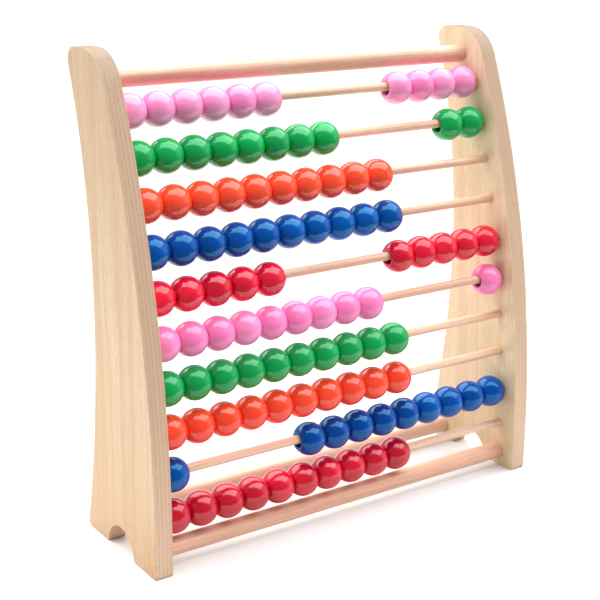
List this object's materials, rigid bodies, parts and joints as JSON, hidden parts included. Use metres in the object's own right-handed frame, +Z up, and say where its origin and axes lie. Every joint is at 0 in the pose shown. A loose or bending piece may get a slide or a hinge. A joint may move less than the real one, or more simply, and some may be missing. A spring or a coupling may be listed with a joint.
{
  "type": "abacus",
  "caption": "Free-standing wooden counting frame: two curved plywood sides, three dowels and horizontal rods carrying sliding painted round beads.",
  "frame": {"origin": "on the table surface, midway between the two sides and midway between their front and back", "axes": "+X along the rods to the right as seen from the front, +Y from front to back, +Z up"},
  "size_m": [0.307, 0.0964, 0.318],
  "materials": {
    "plywood": "sanded birch plywood under a thin matt varnish, ply layers showing on the edges",
    "dowel_wood": "smooth sanded beech dowel, matt",
    "rod_wood": "smooth sanded beech rod, matt",
    "pink_bead_paint": "gloss lacquer on wood",
    "green_bead_paint": "gloss lacquer on wood",
    "orange_bead_paint": "gloss lacquer on wood",
    "blue_bead_paint": "gloss lacquer on wood",
    "red_bead_paint": "gloss lacquer on wood"
  },
  "bodies": {
    "frame": {"left_side_panel": "plywood", "right_side_panel": "plywood", "top_dowel": "dowel_wood", "bottom_front_dowel": "dowel_wood", "bottom_rear_dowel": "dowel_wood", "bead_rod_01": "rod_wood", "bead_rod_02": "rod_wood", "bead_rod_03": "rod_wood", "bead_rod_04": "rod_wood", "bead_rod_05": "rod_wood", "bead_rod_06": "rod_wood", "bead_rod_07": "rod_wood", "bead_rod_08": "rod_wood", "bead_rod_09": "rod_wood", "bead_rod_10": "rod_wood"},
    "row_01_left_beads": {"row_01_beads_01_03": "pink_bead_paint", "row_01_beads_04_06": "pink_bead_paint"},
    "row_01_right_beads": {"row_01_beads_07_08": "pink_bead_paint", "row_01_beads_09_10": "pink_bead_paint"},
    "row_02_left_beads": {"row_02_beads_01_03": "green_bead_paint", "row_02_beads_04_06": "green_bead_paint", "row_02_beads_07_08": "green_bead_paint"},
    "row_02_right_beads": {"row_02_beads_09_10": "green_bead_paint"},
    "row_03_first_five": {"row_03_beads_01_03": "orange_bead_paint", "row_03_beads_04_05": "orange_bead_paint"},
    "row_03_last_five": {"row_03_beads_06_08": "orange_bead_paint", "row_03_beads_09_10": "orange_bead_paint"},
    "row_04_first_five": {"row_04_beads_01_03": "blue_bead_paint", "row_04_beads_04_05": "blue_bead_paint"},
    "row_04_last_five": {"row_04_beads_06_08": "blue_bead_paint", "row_04_beads_09_10": "blue_bead_paint"},
    "row_05_left_beads": {"row_05_beads_01_03": "red_bead_paint", "row_05_beads_04_05": "red_bead_paint"},
    "row_05_right_beads": {"row_05_beads_06_08": "red_bead_paint", "row_05_beads_09_10": "red_bead_paint"},
    "row_06_left_beads": {"row_06_beads_01_03": "pink_bead_paint", "row_06_beads_04_06": "pink_bead_paint", "row_06_beads_07_09": "pink_bead_paint"},
    "row_06_right_beads": {"row_06_bead_10": "pink_bead_paint"},
    "row_07_first_five": {"row_07_beads_01_03": "green_bead_paint", "row_07_beads_04_05": "green_bead_paint"},
    "row_07_last_five": {"row_07_beads_06_08": "green_bead_paint", "row_07_beads_09_10": "green_bead_paint"},
    "row_08_first_five": {"row_08_beads_01_03": "orange_bead_paint", "row_08_beads_04_05": "orange_bead_paint"},
    "row_08_last_five": {"row_08_beads_06_08": "orange_bead_paint", "row_08_beads_09_10": "orange_bead_paint"},
    "row_09_left_beads": {"row_09_bead_01": "blue_bead_paint"},
    "row_09_right_beads": {"row_09_beads_02_04": "blue_bead_paint", "row_09_beads_05_07": "blue_bead_paint", "row_09_beads_08_10": "blue_bead_paint"},
    "row_10_first_five": {"row_10_beads_01_03": "red_bead_paint", "row_10_beads_04_05": "red_bead_paint"},
    "row_10_last_five": {"row_10_beads_06_08": "red_bead_paint", "row_10_beads_09_10": "red_bead_paint"}
  },
  "joints": [
    {"name": "row_01_left_beads_slide", "type": "slide", "parent": "frame", "child": "row_01_left_beads", "axis": [1, 0, 0], "range_m": [0, 0.0878]},
    {"name": "row_01_right_beads_slide", "type": "slide", "parent": "frame", "child": "row_01_right_beads", "axis": [1, 0, 0], "range_m": [-0.0878, 0]},
    {"name": "row_02_left_beads_slide", "type": "slide", "parent": "frame", "child": "row_02_left_beads", "axis": [1, 0, 0], "range_m": [0, 0.0878]},
    {"name": "row_02_right_beads_slide", "type": "slide", "parent": "frame", "child": "row_02_right_beads", "axis": [1, 0, 0], "range_m": [-0.0878, 0]},
    {"name": "row_03_first_five_slide", "type": "slide", "parent": "frame", "child": "row_03_first_five", "axis": [1, 0, 0], "range_m": [0, 0.0878]},
    {"name": "row_03_last_five_slide", "type": "slide", "parent": "row_03_first_five", "child": "row_03_last_five", "axis": [-1, 0, 0], "range_m": [-0.0878, 0]},
    {"name": "row_04_first_five_slide", "type": "slide", "parent": "frame", "child": "row_04_first_five", "axis": [1, 0, 0], "range_m": [0, 0.0842]},
    {"name": "row_04_last_five_slide", "type": "slide", "parent": "row_04_first_five", "child": "row_04_last_five", "axis": [-1, 0, 0], "range_m": [-0.0842, 0]},
    {"name": "row_05_left_beads_slide", "type": "slide", "parent": "frame", "child": "row_05_left_beads", "axis": [1, 0, 0], "range_m": [0, 0.0858]},
    {"name": "row_05_right_beads_slide", "type": "slide", "parent": "frame", "child": "row_05_right_beads", "axis": [1, 0, 0], "range_m": [-0.0858, 0]},
    {"name": "row_06_left_beads_slide", "type": "slide", "parent": "frame", "child": "row_06_left_beads", "axis": [1, 0, 0], "range_m": [0, 0.0878]},
    {"name": "row_06_right_beads_slide", "type": "slide", "parent": "frame", "child": "row_06_right_beads", "axis": [1, 0, 0], "range_m": [-0.0878, 0]},
    {"name": "row_07_first_five_slide", "type": "slide", "parent": "frame", "child": "row_07_first_five", "axis": [1, 0, 0], "range_m": [0, 0.0878]},
    {"name": "row_07_last_five_slide", "type": "slide", "parent": "row_07_first_five", "child": "row_07_last_five", "axis": [-1, 0, 0], "range_m": [-0.0878, 0]},
    {"name": "row_08_first_five_slide", "type": "slide", "parent": "frame", "child": "row_08_first_five", "axis": [1, 0, 0], "range_m": [0, 0.0869]},
    {"name": "row_08_last_five_slide", "type": "slide", "parent": "row_08_first_five", "child": "row_08_last_five", "axis": [-1, 0, 0], "range_m": [-0.0869, 0]},
    {"name": "row_09_left_beads_slide", "type": "slide", "parent": "frame", "child": "row_09_left_beads", "axis": [1, 0, 0], "range_m": [0, 0.0838]},
    {"name": "row_09_right_beads_slide", "type": "slide", "parent": "frame", "child": "row_09_right_beads", "axis": [1, 0, 0], "range_m": [-0.0838, 0]},
    {"name": "row_10_first_five_slide", "type": "slide", "parent": "frame", "child": "row_10_first_five", "axis": [1, 0, 0], "range_m": [0, 0.0878]},
    {"name": "row_10_last_five_slide", "type": "slide", "parent": "row_10_first_five", "child": "row_10_last_five", "axis": [-1, 0, 0], "range_m": [-0.0878, 0]}
  ]
}
